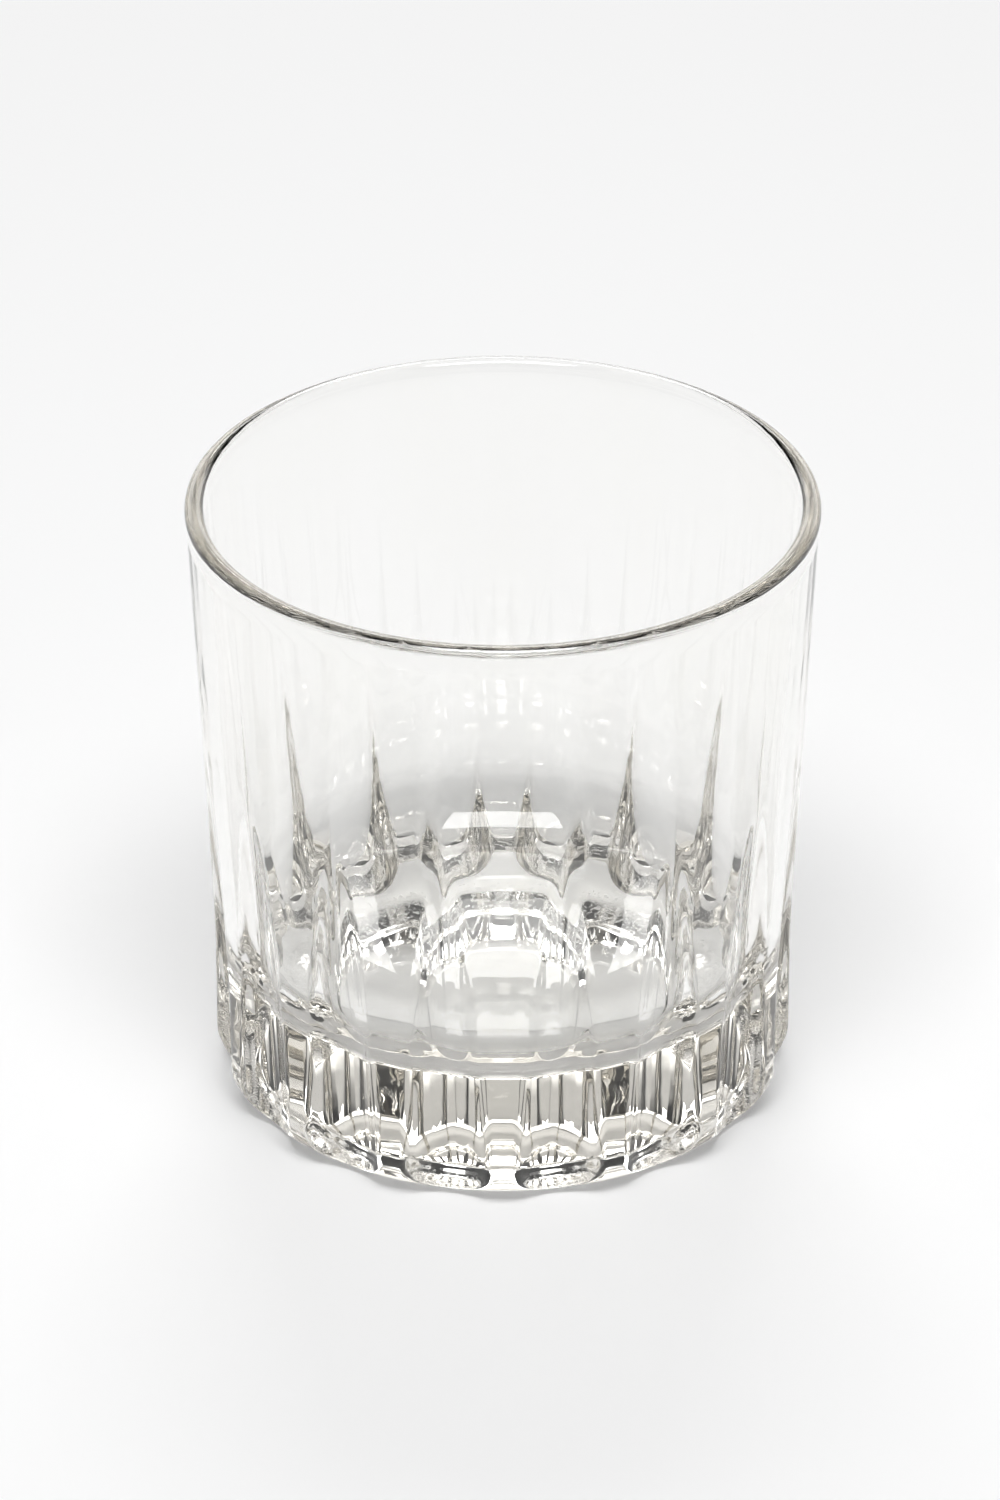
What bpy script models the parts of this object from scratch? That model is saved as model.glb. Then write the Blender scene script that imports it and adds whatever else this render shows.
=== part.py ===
"""Rocks glass: a pressed soda-lime tumbler with a heavy base and a fluted lower wall.

The tumbler is one piece of glass. It is built the way its mould is cut: a turned body gives the
cavity with its bowl-shaped floor, the rolled lip, the leaning wall, the straight skirt, the heel
and the foot, and a second blank with a hollow channel per flute trims that body. The channels
lean out of the wall, so each flute narrows upwards and runs out in an arch below the lip, and
they run down through the rounded heel.

Metres, +Z up. The origin is on the axis, at the level that the foot stands on.
"""

import math

import bpy

# Overall sizes
HEIGHT = 0.0840
RIM_RADIUS = 0.0410
SKIRT_RADIUS = 0.0380

# Wall and lip
LIP_THICKNESS = 0.0025
LIP_ROLL = math.radians(30.0)
SIDE_THICKNESS = 0.0034
SKIRT_HEIGHT = 0.0220
SKIRT_BLEND = 0.0060

# Base
BASE_THICKNESS = 0.0105
BOWL_RADIUS = 0.0770
FLOOR_FILLET = 0.0110
HEEL_RADIUS = 0.0055
FOOT_WIDTH = 0.0040
PUSH_UP_DEPTH = 0.0012
PUSH_UP_EDGE = 0.0030

# Flutes
FLUTES = 16
FLUTE_RADIUS = 0.0086
FLUTE_DEPTH = 0.0027
FLUTE_TOP = 0.0500

# How finely curves are divided
TURN_STEPS = FLUTES * 6
WALL_RINGS = 12
BLANK_RINGS = 15
FLUTE_POINTS = 9
BOWL_POINTS = 6
LIP_POINTS = 7
FILLET_POINTS = 6
HEEL_POINTS = 6
PUSH_UP_POINTS = 4
MERGE_DISTANCE = 0.00001
SHARP_ANGLE = math.radians(28.0)

# How far the fluted blank reaches past the body that it trims
TRIM_MARGIN = 0.0060
RIDGE_MARGIN = 0.0010

GLASS_TINT = (0.93, 0.95, 0.93, 1.0)
GLASS_ROUGHNESS = 0.02
GLASS_IOR = 1.52


def clear_scene():
    for thing in list(bpy.data.objects):
        bpy.data.objects.remove(thing, do_unlink=True)


def lip_centre():
    half = LIP_THICKNESS / 2
    return RIM_RADIUS - half, HEIGHT - half


def wall_top():
    """Radius and height where the lip's round ends and the outer wall begins."""
    half = LIP_THICKNESS / 2
    radius, height = lip_centre()
    return radius + half * math.cos(LIP_ROLL), height - half * math.sin(LIP_ROLL)


def wall_radius(height):
    """Outer radius of the round wall: an upright skirt that eases into the leaning wall."""
    top_radius, top_height = wall_top()
    lean = (top_radius - SKIRT_RADIUS) / (top_height - SKIRT_HEIGHT)
    above = height - SKIRT_HEIGHT
    if above <= -SKIRT_BLEND:
        return SKIRT_RADIUS
    if above >= SKIRT_BLEND:
        return SKIRT_RADIUS + lean * above
    return SKIRT_RADIUS + lean * (above + SKIRT_BLEND) ** 2 / (4 * SKIRT_BLEND)


def flute_depth(height):
    """Depth of a flute's middle below the round wall; above FLUTE_TOP the channel is clear of it."""
    return max(FLUTE_DEPTH * (1 - height / FLUTE_TOP), -RIDGE_MARGIN / 2)


def spread(start, end, count):
    """Evenly spaced values from start to end, both included."""
    return [start + (end - start) * step / (count - 1) for step in range(count)]


def arc(centre, radius, start, end, count):
    """Points on an arc in the profile's plane, angles from the +X direction."""
    points = []
    for angle in spread(start, end, count):
        points.append((centre[0] + radius * math.cos(angle), centre[1] + radius * math.sin(angle)))
    return points


def cavity_profile():
    """Inside of the glass: the bowl of its floor, a fillet, and the leaning inner wall above it."""
    lip_radius, lip_height = lip_centre()
    top_radius = lip_radius - LIP_THICKNESS / 2
    floor_radius = SKIRT_RADIUS - SIDE_THICKNESS
    lean = math.atan2(top_radius - floor_radius, lip_height - BASE_THICKNESS)
    bowl_height = BASE_THICKNESS + BOWL_RADIUS
    # The fillet's centre is its own radius inside both the wall and the bowl
    to_wall = floor_radius * math.cos(lean) - FLOOR_FILLET + BOWL_RADIUS * math.sin(lean)
    down = math.sqrt((BOWL_RADIUS - FLOOR_FILLET) ** 2 - to_wall**2)
    fillet_radius = to_wall * math.cos(lean) - down * math.sin(lean)
    fillet_height = bowl_height - to_wall * math.sin(lean) - down * math.cos(lean)
    meeting = math.atan2(fillet_height - bowl_height, fillet_radius)
    bowl = arc((0.0, bowl_height), BOWL_RADIUS, -math.pi / 2, meeting, BOWL_POINTS)
    fillet = arc((fillet_radius, fillet_height), FLOOR_FILLET, meeting, -lean, FILLET_POINTS)
    return [(0.0, BASE_THICKNESS)] + bowl[1:] + fillet[1:]


def lip_profile():
    """The round of the lip, which carries on a little below its widest point."""
    return arc(lip_centre(), LIP_THICKNESS / 2, math.pi, 0.0, LIP_POINTS) + [wall_top()]


def wall_profile():
    """Outside of the wall, below the lip and down to the heel."""
    heights = spread(wall_top()[1], HEEL_RADIUS, WALL_RINGS)
    return [(wall_radius(height), height) for height in heights[1:-1]]


def foot_profile():
    """Heel, the ring that the glass stands on, and the shallow hollow inside that ring."""
    foot_outer = SKIRT_RADIUS - HEEL_RADIUS
    foot_inner = foot_outer - FOOT_WIDTH
    points = arc((foot_outer, HEEL_RADIUS), HEEL_RADIUS, 0.0, -math.pi / 2, HEEL_POINTS)
    for share in spread(0.0, 1.0, PUSH_UP_POINTS):
        rise = PUSH_UP_DEPTH * (1 - math.cos(math.pi * share)) / 2
        points.append((foot_inner - PUSH_UP_EDGE * share, rise))
    return points + [(0.0, PUSH_UP_DEPTH)]


def blank_ring(height):
    """One level of the fluted blank: an arc per flute, with bridges that pass outside the ridges."""
    middle_radius = wall_radius(height) + FLUTE_RADIUS - flute_depth(height)
    bridge_radius = wall_radius(height) + RIDGE_MARGIN
    reach = middle_radius**2 + FLUTE_RADIUS**2 - bridge_radius**2
    half = math.acos(reach / (2 * middle_radius * FLUTE_RADIUS))
    points = []
    for flute in range(FLUTES):
        turned = (flute + 0.5) * 2 * math.pi / FLUTES
        channel = arc((middle_radius, 0.0), FLUTE_RADIUS, math.pi + half, math.pi - half, FLUTE_POINTS)
        for out, across in channel:
            x = out * math.cos(turned) - across * math.sin(turned)
            y = out * math.sin(turned) + across * math.cos(turned)
            points.append((x, y, height))
    return points


def fluted_blank():
    """A solid that holds the whole body except what the flutes take away."""
    clear_height = FLUTE_TOP * (1 + RIDGE_MARGIN / 2 / FLUTE_DEPTH)
    heights = [-TRIM_MARGIN] + spread(0.0, clear_height, BLANK_RINGS) + [HEIGHT + TRIM_MARGIN]
    vertices = []
    for height in heights:
        vertices += blank_ring(height)
    around = FLUTES * FLUTE_POINTS
    below = len(vertices)
    above = below + 1
    vertices += [(0.0, 0.0, heights[0]), (0.0, 0.0, heights[-1])]
    faces = []
    for place in range(around):
        onward = (place + 1) % around
        faces.append((below, onward, place))
        for level in range(len(heights) - 1):
            low = level * around
            faces.append((low + place, low + onward, low + around + onward, low + around + place))
        last = (len(heights) - 1) * around
        faces.append((above, last + place, last + onward))
    mesh = bpy.data.meshes.new("fluted_blank")
    mesh.from_pydata(vertices, [], faces)
    blank = bpy.data.objects.new("fluted_blank", mesh)
    bpy.context.collection.objects.link(blank)
    blank.hide_render = True
    blank.display_type = "WIRE"
    return blank


def turn(name, profile, steps):
    """A solid turned about Z from a profile that runs down its outer side."""
    mesh = bpy.data.meshes.new(name)
    vertices = [(radius, 0.0, height) for radius, height in profile]
    mesh.from_pydata(vertices, [(i, i + 1) for i in range(len(vertices) - 1)], [])
    turned = bpy.data.objects.new(name, mesh)
    bpy.context.collection.objects.link(turned)
    screw = turned.modifiers.new("turn", "SCREW")
    screw.steps = steps
    screw.render_steps = steps
    screw.use_merge_vertices = True
    screw.merge_threshold = MERGE_DISTANCE
    screw.use_smooth_shade = False
    return turned


def glass_material():
    material = bpy.data.materials.new("clear_glass")
    material.use_nodes = True
    shader = material.node_tree.nodes["Principled BSDF"]
    shader.inputs["Base Color"].default_value = GLASS_TINT
    shader.inputs["Roughness"].default_value = GLASS_ROUGHNESS
    shader.inputs["Metallic"].default_value = 0.0
    shader.inputs["IOR"].default_value = GLASS_IOR
    shader.inputs["Transmission Weight"].default_value = 1.0
    return material


def settle(thing):
    """Replace an object's mesh by what its modifiers make, with round faces shaded smooth."""
    evaluated = thing.evaluated_get(bpy.context.evaluated_depsgraph_get())
    mesh = bpy.data.meshes.new_from_object(evaluated)
    thing.modifiers.clear()
    thing.data = mesh
    mesh.shade_smooth()
    mesh.set_sharp_from_angle(angle=SHARP_ANGLE)


def build():
    clear_scene()
    blank = fluted_blank()
    profile = cavity_profile() + lip_profile() + wall_profile() + foot_profile()
    body = turn("glass_body", profile, TURN_STEPS)
    trim = body.modifiers.new("flutes", "BOOLEAN")
    trim.operation = "INTERSECT"
    trim.solver = "EXACT"
    trim.object = blank
    settle(body)
    body.data.materials.clear()
    body.data.materials.append(glass_material())


build()
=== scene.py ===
"""Looks of the rocks glass: a clear fluted tumbler that stands on a white studio table.

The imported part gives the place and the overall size. The glass is made again here as one fine,
fire-polished mesh, because what the base and the flutes show is all refraction.
"""

import math

import bpy
import numpy as np
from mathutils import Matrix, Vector


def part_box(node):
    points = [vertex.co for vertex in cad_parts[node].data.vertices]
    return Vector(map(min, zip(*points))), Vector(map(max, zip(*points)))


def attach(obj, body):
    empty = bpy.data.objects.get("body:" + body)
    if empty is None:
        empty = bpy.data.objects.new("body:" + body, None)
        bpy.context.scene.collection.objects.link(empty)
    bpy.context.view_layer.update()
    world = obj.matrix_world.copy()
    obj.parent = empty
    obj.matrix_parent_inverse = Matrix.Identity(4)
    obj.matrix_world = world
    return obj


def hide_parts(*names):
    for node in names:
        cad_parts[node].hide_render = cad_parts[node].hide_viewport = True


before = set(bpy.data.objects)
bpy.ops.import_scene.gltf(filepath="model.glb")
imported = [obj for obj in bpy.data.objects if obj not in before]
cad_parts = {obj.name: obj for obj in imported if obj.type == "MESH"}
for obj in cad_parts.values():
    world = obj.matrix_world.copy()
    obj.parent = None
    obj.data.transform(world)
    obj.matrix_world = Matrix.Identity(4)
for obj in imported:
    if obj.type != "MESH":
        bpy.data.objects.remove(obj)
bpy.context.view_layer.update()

# Overall sizes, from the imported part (metres)
rim_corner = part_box("glass_body")[1]
HEIGHT = rim_corner.z
RIM_RADIUS = rim_corner.x

# Wall and lip
SKIRT_RADIUS = 0.0380
LIP_THICKNESS = 0.0025
LIP_ROLL = math.radians(30)
SIDE_THICKNESS = 0.0034
SKIRT_HEIGHT = 0.0220
SKIRT_BLEND = 0.0060

# Base; the hollow under it rises a little more towards its middle
BASE_THICKNESS = 0.0105
BOWL_RADIUS = 0.0770
FLOOR_FILLET = 0.0110
HEEL_RADIUS = 0.0055
FOOT_WIDTH = 0.0040
PUSH_UP_DEPTH = 0.0012
PUSH_UP_EDGE = 0.0030
DOME_RISE = 0.0006

# Flutes, with edges rounded by fire polishing
FLUTES = 16
FLUTE_RADIUS = 0.0086
FLUTE_DEPTH = 0.0027
FLUTE_TOP = 0.0500
POLISH_RADIUS = 0.0001

# Fineness of the mesh: points round the glass, and along each stretch of its profile
COLUMNS_PER_FLUTE = 24
AROUND = FLUTES * COLUMNS_PER_FLUTE
BOWL_POINTS = 26
FILLET_POINTS = 22
INNER_WALL_POINTS = 20
LIP_POINTS = 26
PLAIN_WALL_POINTS = 14
FLUTED_WALL_POINTS = 90
HEEL_POINTS = 34
PUSH_UP_POINTS = 10
HOLLOW_POINTS = 14

# Glass: what it takes out of white light per metre, and the faint tint of its cords
GLASS_IOR = 1.52
ABSORPTION = 9.0
ABSORPTION_COLOUR = (0.76, 0.71, 0.60, 1)
CLEAR = (1.0, 1.0, 1.0, 1)
CORD_TINT = (0.985, 0.985, 0.97, 1)

# Unevenness of the glass: how far noise is stretched along each axis, waves per metre, and detail
CORDS = ((1, 1, 0.3), 90, 1)
WAVES = ((1, 1, 0.45), 75, 1)
RIPPLES = ((1, 1, 0.7), 420, 1)
SCRATCHES = ((1, 1, 1), 1400, 3)
WAVE_HEIGHT = 0.00010
RIPPLE_SHARE = 0.02

# Scuffs: the heights where they fade out, the noise that they begin and end at, and their roughness
SCUFF_HEIGHTS = (0.0002, 0.0010)
SCUFF_NOISE = (0.45, 0.62)
SCUFF_ROUGHNESS = (0.04, 0.35)

# Camera, fitted to the photograph's 1000 x 1500 frame
PHOTO_HEIGHT = 1500
FOCAL_PIXELS = 8540
SENSOR_WIDTH = 36
NEAREST = 0.01
CAMERA_PITCH = math.radians(29.61)
CAMERA_DISTANCE = 1.1172
LOOK_AT = (-0.00037, 0.0, 0.04655)

# Table: matt white near the glass with a share of plain white, which grows to the whole of it
# between the two distances in PLAIN_FROM
TABLE_RADIUS = 4.0
TABLE_CORNERS = 128
TABLE_GAP = 0.0002
TABLE_ROUGHNESS = 0.9
TABLE_WHITE = 0.95
TABLE_FAR = 0.88
PLAIN_SHARE = 0.25
PLAIN_FROM = (0.18, 0.70)

# Studio: radiance of the room, the pale horizon and the backdrop, which is lit from below
ROOM = 0.02
HORIZON = 0.87
BACKDROP = 0.65
BACKDROP_LOW = 1.5

# Where each of them fades, as the upward or backward part of a direction
HORIZON_TOP = (0.05, 0.10)
BACKDROP_SIDES = (0.70, 0.82)
BACKDROP_FOOT = (0.09, 0.14)
BACKDROP_LOW_TOP = (0.36, 0.48)
BACKDROP_TOP = (0.56, 0.64)

# Lamps: place, width, depth and radiance
OVERHEAD_LAMP = ((0, -0.56, 1.40), 0.9, 0.6, 11.2)
BACK_LAMP = ((0, 1.03, 1.10), 0.6, 0.6, 5.5)

# How often light may pass or bounce: the fluted base needs many
BOUNCES = 24


def wall_radius(height):
    """Outer radius of the round wall: an upright skirt that eases into the leaning wall."""
    half = LIP_THICKNESS / 2
    top_radius = RIM_RADIUS - half + half * math.cos(LIP_ROLL)
    top_height = HEIGHT - half - half * math.sin(LIP_ROLL)
    lean = (top_radius - SKIRT_RADIUS) / (top_height - SKIRT_HEIGHT)
    above = height - SKIRT_HEIGHT
    eased = np.clip(above + SKIRT_BLEND, 0, 2 * SKIRT_BLEND) ** 2 / (4 * SKIRT_BLEND)
    return SKIRT_RADIUS + lean * np.where(above > SKIRT_BLEND, above, eased)


def arc(centre, radius, start, end, count):
    """Points (radius, height) along an arc, angles in radians from the outward direction."""
    angles = np.linspace(start, end, count)
    return np.column_stack((centre[0] + radius * np.cos(angles), centre[1] + radius * np.sin(angles)))


def cavity_profile():
    """Inside of the glass: the bowl of its floor, a fillet, and the leaning inner wall."""
    half = LIP_THICKNESS / 2
    lip_height = HEIGHT - half
    top_radius = RIM_RADIUS - LIP_THICKNESS
    floor_radius = SKIRT_RADIUS - SIDE_THICKNESS
    lean = math.atan2(top_radius - floor_radius, lip_height - BASE_THICKNESS)
    bowl_height = BASE_THICKNESS + BOWL_RADIUS
    # The fillet's centre is its own radius inside both the wall and the bowl
    to_wall = floor_radius * math.cos(lean) - FLOOR_FILLET + BOWL_RADIUS * math.sin(lean)
    down = math.sqrt((BOWL_RADIUS - FLOOR_FILLET) ** 2 - to_wall**2)
    fillet_radius = to_wall * math.cos(lean) - down * math.sin(lean)
    fillet_height = bowl_height - to_wall * math.sin(lean) - down * math.cos(lean)
    meeting = math.atan2(fillet_height - bowl_height, fillet_radius)
    bowl = arc((0, bowl_height), BOWL_RADIUS, -math.pi / 2, meeting, BOWL_POINTS)
    fillet = arc((fillet_radius, fillet_height), FLOOR_FILLET, meeting, -lean, FILLET_POINTS)
    share = np.linspace(0, 1, INNER_WALL_POINTS)[1:-1, None]
    wall = fillet[-1] + share * (np.array((top_radius, lip_height)) - fillet[-1])
    return np.vstack((bowl[1:], fillet[1:], wall))


def lip_profile():
    """The round of the lip, which carries on a little below its widest point."""
    half = LIP_THICKNESS / 2
    return arc((RIM_RADIUS - half, HEIGHT - half), half, math.pi, -LIP_ROLL, LIP_POINTS)


def wall_profile():
    """Outside of the wall from the lip down to the heel, with finer rows where the flutes are."""
    half = LIP_THICKNESS / 2
    top = HEIGHT - half - half * math.sin(LIP_ROLL)
    plain = np.linspace(top, FLUTE_TOP, PLAIN_WALL_POINTS)[1:-1]
    fluted = np.linspace(FLUTE_TOP, HEEL_RADIUS, FLUTED_WALL_POINTS)[:-1]
    heights = np.concatenate((plain, fluted))
    return np.column_stack((wall_radius(heights), heights))


def foot_profile():
    """Heel, standing ring, and the shallow hollow inside that ring, in to the middle."""
    foot_outer = SKIRT_RADIUS - HEEL_RADIUS
    foot_inner = foot_outer - FOOT_WIDTH
    heel = arc((foot_outer, HEEL_RADIUS), HEEL_RADIUS, 0, -math.pi / 2, HEEL_POINTS)
    share = np.linspace(0, 1, PUSH_UP_POINTS)[:, None]
    rise = PUSH_UP_DEPTH * (1 - np.cos(math.pi * share)) / 2
    edge = np.hstack((foot_inner - PUSH_UP_EDGE * share, rise))
    hollow_radius = edge[-1, 0]
    inward = np.linspace(hollow_radius, 0, HOLLOW_POINTS)[1:-1]
    dome = PUSH_UP_DEPTH + DOME_RISE * (1 - (inward / hollow_radius) ** 2)
    hollow = np.column_stack((inward, dome))
    return np.vstack((heel, edge, hollow))


def soft_minimum(first, second, width):
    """The smaller of two radii, with the edge where they cross rounded over about this width."""
    return np.minimum(first, second) - width / 2 * np.exp(-np.abs(first - second) / width)


def cut_flutes(radius, height, angle):
    """Radius of the outer surface after the round-nosed flutes are taken out of it."""
    pitch = 2 * math.pi / FLUTES
    from_middle = (angle % pitch) - pitch / 2
    wall = wall_radius(height)
    depth = FLUTE_DEPTH * (1 - np.minimum(height / FLUTE_TOP, 1))
    axis = wall + FLUTE_RADIUS - depth + POLISH_RADIUS * (height > FLUTE_TOP)
    inside = FLUTE_RADIUS**2 - (axis * np.sin(from_middle)) ** 2
    channel = axis * np.cos(from_middle) - np.sqrt(np.maximum(inside, 0))
    channel = np.where(inside > 0, channel, wall + FLUTE_RADIUS)
    return soft_minimum(radius, channel, POLISH_RADIUS)


def make_glass():
    """One closed mesh, in rings from the middle of the cavity's floor round to the underside."""
    inner = np.vstack((cavity_profile(), lip_profile()))
    outer = np.vstack((wall_profile(), foot_profile()))
    profile = np.vstack((inner, outer))
    angle = np.arange(AROUND) * 2 * math.pi / AROUND
    radius = np.repeat(profile[:, :1], AROUND, axis=1)
    height = np.repeat(profile[:, 1:], AROUND, axis=1)
    shaped = len(inner) + np.count_nonzero(outer[:, 0] > SKIRT_RADIUS - HEEL_RADIUS)
    rows = slice(len(inner), shaped)
    radius[rows] = cut_flutes(radius[rows], height[rows], angle)
    rings = np.dstack((radius * np.cos(angle), radius * np.sin(angle), height)).reshape(-1, 3)
    ends = np.array(((0, 0, BASE_THICKNESS), (0, 0, PUSH_UP_DEPTH + DOME_RISE)))
    vertices = np.vstack((rings, ends))

    place = np.arange(AROUND)
    onward = (place + 1) % AROUND
    faces = []
    for ring in range(len(profile) - 1):
        here = ring * AROUND
        after = here + AROUND
        quads = np.column_stack((here + place, after + place, after + onward, here + onward))
        faces += quads.tolist()
    floor_middle = len(rings)
    under_middle = floor_middle + 1
    last = (len(profile) - 1) * AROUND
    faces += np.column_stack((np.full(AROUND, floor_middle), place, onward)).tolist()
    faces += np.column_stack((np.full(AROUND, under_middle), last + onward, last + place)).tolist()

    mesh = bpy.data.meshes.new("tumbler")
    mesh.from_pydata(vertices.tolist(), [], faces)
    mesh.shade_smooth()
    tumbler = bpy.data.objects.new("tumbler", mesh)
    bpy.context.scene.collection.objects.link(tumbler)
    return tumbler


def feed(tree, source, socket):
    """Link a socket to a node's output, or set it to a plain number."""
    if isinstance(source, bpy.types.NodeSocket):
        tree.links.new(source, socket)
    else:
        socket.default_value = source


def combine(tree, operation, first, second):
    """One maths node on two sockets or numbers."""
    node = tree.nodes.new("ShaderNodeMath")
    node.operation = operation
    feed(tree, first, node.inputs[0])
    feed(tree, second, node.inputs[1])
    return node.outputs[0]


def ramp(tree, value, start, end, first, last):
    """A smooth change from one number to another, while the value goes from start to end."""
    node = tree.nodes.new("ShaderNodeMapRange")
    node.interpolation_type = "SMOOTHSTEP"
    for name, number in zip(("From Min", "From Max", "To Min", "To Max"), (start, end, first, last)):
        node.inputs[name].default_value = number
    tree.links.new(value, node.inputs["Value"])
    return node.outputs["Result"]


def distance(tree, across, along):
    """How far a place is from the middle, from its two distances at right angles."""
    squares = combine(tree, "ADD", combine(tree, "POWER", across, 2), combine(tree, "POWER", along, 2))
    return combine(tree, "SQRT", squares, 0)


def axes_of(tree, place):
    """The X, Y and Z of a place or direction."""
    node = tree.nodes.new("ShaderNodeSeparateXYZ")
    tree.links.new(place, node.inputs[0])
    return node.outputs


def noise(tree, place, stretch, scale, detail):
    """Soft noise over the surface, stretched along each axis; the scale is in waves per metre."""
    mapping = tree.nodes.new("ShaderNodeMapping")
    mapping.inputs["Scale"].default_value = stretch
    tree.links.new(place, mapping.inputs["Vector"])
    node = tree.nodes.new("ShaderNodeTexNoise")
    node.inputs["Scale"].default_value = scale
    node.inputs["Detail"].default_value = detail
    tree.links.new(mapping.outputs["Vector"], node.inputs["Vector"])
    return node.outputs["Fac"]


def glass_finish():
    """Soda-lime glass: clear, with a mould's slow waves, faint cords, and a foot scuffed by standing."""
    material = bpy.data.materials.new("clear_glass")
    material.use_nodes = True
    tree = material.node_tree
    shader = tree.nodes["Principled BSDF"]
    shader.inputs["IOR"].default_value = GLASS_IOR
    shader.inputs["Transmission Weight"].default_value = 1.0
    place = tree.nodes.new("ShaderNodeTexCoord").outputs["Object"]

    cords = noise(tree, place, *CORDS)
    tint = tree.nodes.new("ShaderNodeMix")
    tint.data_type = "RGBA"
    tint.inputs["A"].default_value = CLEAR
    tint.inputs["B"].default_value = CORD_TINT
    tree.links.new(cords, tint.inputs["Factor"])
    tree.links.new(tint.outputs["Result"], shader.inputs["Base Color"])

    height = axes_of(tree, place)["Z"]
    on_foot = ramp(tree, height, *SCUFF_HEIGHTS, 1, 0)
    scratches = ramp(tree, noise(tree, place, *SCRATCHES), *SCUFF_NOISE, *SCUFF_ROUGHNESS)
    tree.links.new(combine(tree, "MULTIPLY", on_foot, scratches), shader.inputs["Roughness"])

    waves = noise(tree, place, *WAVES)
    ripples = noise(tree, place, *RIPPLES)
    relief = combine(tree, "ADD", waves, combine(tree, "MULTIPLY", ripples, RIPPLE_SHARE))
    bump = tree.nodes.new("ShaderNodeBump")
    bump.inputs["Strength"].default_value = 1.0
    bump.inputs["Distance"].default_value = WAVE_HEIGHT
    tree.links.new(relief, bump.inputs["Height"])
    tree.links.new(bump.outputs["Normal"], shader.inputs["Normal"])

    depth = tree.nodes.new("ShaderNodeVolumeAbsorption")
    depth.inputs["Color"].default_value = ABSORPTION_COLOUR
    depth.inputs["Density"].default_value = ABSORPTION
    tree.links.new(depth.outputs["Volume"], tree.nodes["Material Output"].inputs["Volume"])
    return material


def table_finish():
    """Matt white. A share of what the camera sees of it, also through the glass, is plain white."""
    material = bpy.data.materials.new("white_table")
    material.use_nodes = True
    tree = material.node_tree
    shader = tree.nodes["Principled BSDF"]
    shader.inputs["Roughness"].default_value = TABLE_ROUGHNESS
    shader.inputs["Specular IOR Level"].default_value = 0.0
    place = axes_of(tree, tree.nodes.new("ShaderNodeTexCoord").outputs["Object"])
    from_glass = distance(tree, place["X"], place["Y"])
    tone = ramp(tree, from_glass, *PLAIN_FROM, TABLE_WHITE, TABLE_FAR)
    tree.links.new(tone, shader.inputs["Base Color"])

    plain = tree.nodes.new("ShaderNodeEmission")
    tree.links.new(tone, plain.inputs["Color"])
    path = tree.nodes.new("ShaderNodeLightPath").outputs
    seen = combine(tree, "MAXIMUM", path["Is Camera Ray"], path["Is Glossy Ray"])
    seen = combine(tree, "MAXIMUM", seen, path["Is Transmission Ray"])
    mix = tree.nodes.new("ShaderNodeMixShader")
    away = ramp(tree, from_glass, *PLAIN_FROM, PLAIN_SHARE, 1)
    tree.links.new(combine(tree, "MULTIPLY", seen, away), mix.inputs["Fac"])
    tree.links.new(shader.outputs["BSDF"], mix.inputs[1])
    tree.links.new(plain.outputs["Emission"], mix.inputs[2])
    tree.links.new(mix.outputs["Shader"], tree.nodes["Material Output"].inputs["Surface"])
    return material


def make_table():
    """The table top that the glass stands on."""
    angle = np.arange(TABLE_CORNERS) * 2 * math.pi / TABLE_CORNERS
    height = np.full(TABLE_CORNERS, -TABLE_GAP)
    top = np.column_stack((TABLE_RADIUS * np.cos(angle), TABLE_RADIUS * np.sin(angle), height))
    mesh = bpy.data.meshes.new("table")
    mesh.from_pydata(top.tolist(), [], [list(range(TABLE_CORNERS))])
    mesh.materials.append(table_finish())
    table = bpy.data.objects.new("table", mesh)
    bpy.context.scene.collection.objects.link(table)


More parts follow.
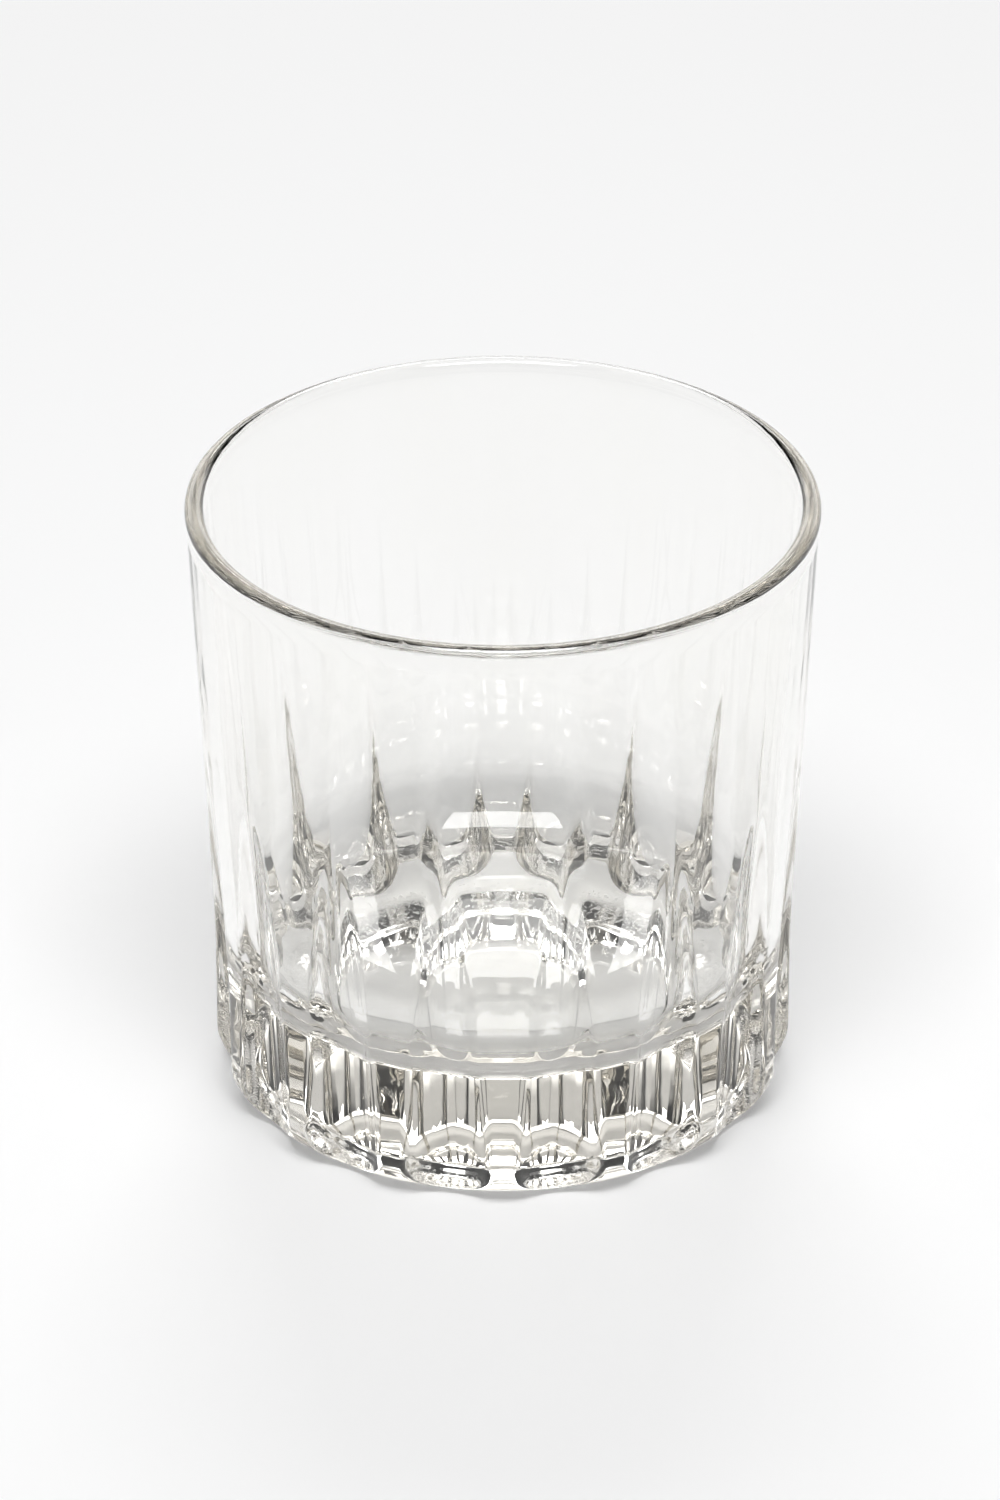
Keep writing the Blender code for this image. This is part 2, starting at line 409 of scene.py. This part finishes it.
def make_camera():
    """The photograph's view: from the front, about 30 degrees above."""
    camera = bpy.data.cameras.new("camera")
    camera.sensor_width = SENSOR_WIDTH
    camera.lens = FOCAL_PIXELS * SENSOR_WIDTH / PHOTO_HEIGHT
    camera.clip_start = NEAREST
    holder = bpy.data.objects.new("camera", camera)
    back = CAMERA_DISTANCE * math.cos(CAMERA_PITCH)
    up = CAMERA_DISTANCE * math.sin(CAMERA_PITCH)
    holder.location = (LOOK_AT[0], LOOK_AT[1] - back, LOOK_AT[2] + up)
    holder.rotation_euler = (math.pi / 2 - CAMERA_PITCH, 0, 0)
    bpy.context.scene.collection.objects.link(holder)
    bpy.context.scene.camera = holder


def make_lamp(name, place, width, depth, radiance):
    """A flat soft lamp that faces the glass."""
    lamp = bpy.data.lights.new(name, "AREA")
    lamp.shape = "RECTANGLE"
    lamp.size = width
    lamp.size_y = depth
    lamp.energy = radiance * math.pi * width * depth
    holder = bpy.data.objects.new(name, lamp)
    holder.location = place
    aim = Vector(LOOK_AT) - Vector(place)
    holder.rotation_euler = aim.to_track_quat("-Z", "Y").to_euler()
    bpy.context.scene.collection.objects.link(holder)


def make_studio():
    """A dim room with a pale horizon and a pale backdrop, and two soft lamps."""
    world = bpy.data.worlds.new("studio")
    world.use_nodes = True
    bpy.context.scene.world = world
    tree = world.node_tree
    direction = tree.nodes.new("ShaderNodeTexCoord").outputs["Generated"]
    axes = axes_of(tree, direction)
    horizon = ramp(tree, axes["Z"], *HORIZON_TOP, HORIZON, ROOM)
    behind = ramp(tree, axes["Y"], *BACKDROP_SIDES, 0, 1)
    above = ramp(tree, axes["Z"], *BACKDROP_FOOT, 0, 1)
    whole = ramp(tree, axes["Z"], *BACKDROP_TOP, BACKDROP, 0)
    low = ramp(tree, axes["Z"], *BACKDROP_LOW_TOP, BACKDROP_LOW, 0)
    on_backdrop = combine(tree, "MULTIPLY", behind, above)
    backdrop = combine(tree, "MULTIPLY", on_backdrop, combine(tree, "ADD", whole, low))
    light = combine(tree, "MAXIMUM", horizon, backdrop)
    background = tree.nodes["Background"]
    background.inputs["Color"].default_value = (1, 1, 1, 1)
    tree.links.new(light, background.inputs["Strength"])
    make_lamp("overhead_lamp", *OVERHEAD_LAMP)
    make_lamp("back_lamp", *BACK_LAMP)


make_camera()
make_studio()
make_table()
tumbler = make_glass()
tumbler.data.materials.append(glass_finish())
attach(tumbler, "root")
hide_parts("glass_body")

scene = bpy.context.scene
scene.view_settings.view_transform = "Standard"
scene.cycles.max_bounces = BOUNCES
scene.cycles.transmission_bounces = BOUNCES
scene.cycles.glossy_bounces = BOUNCES
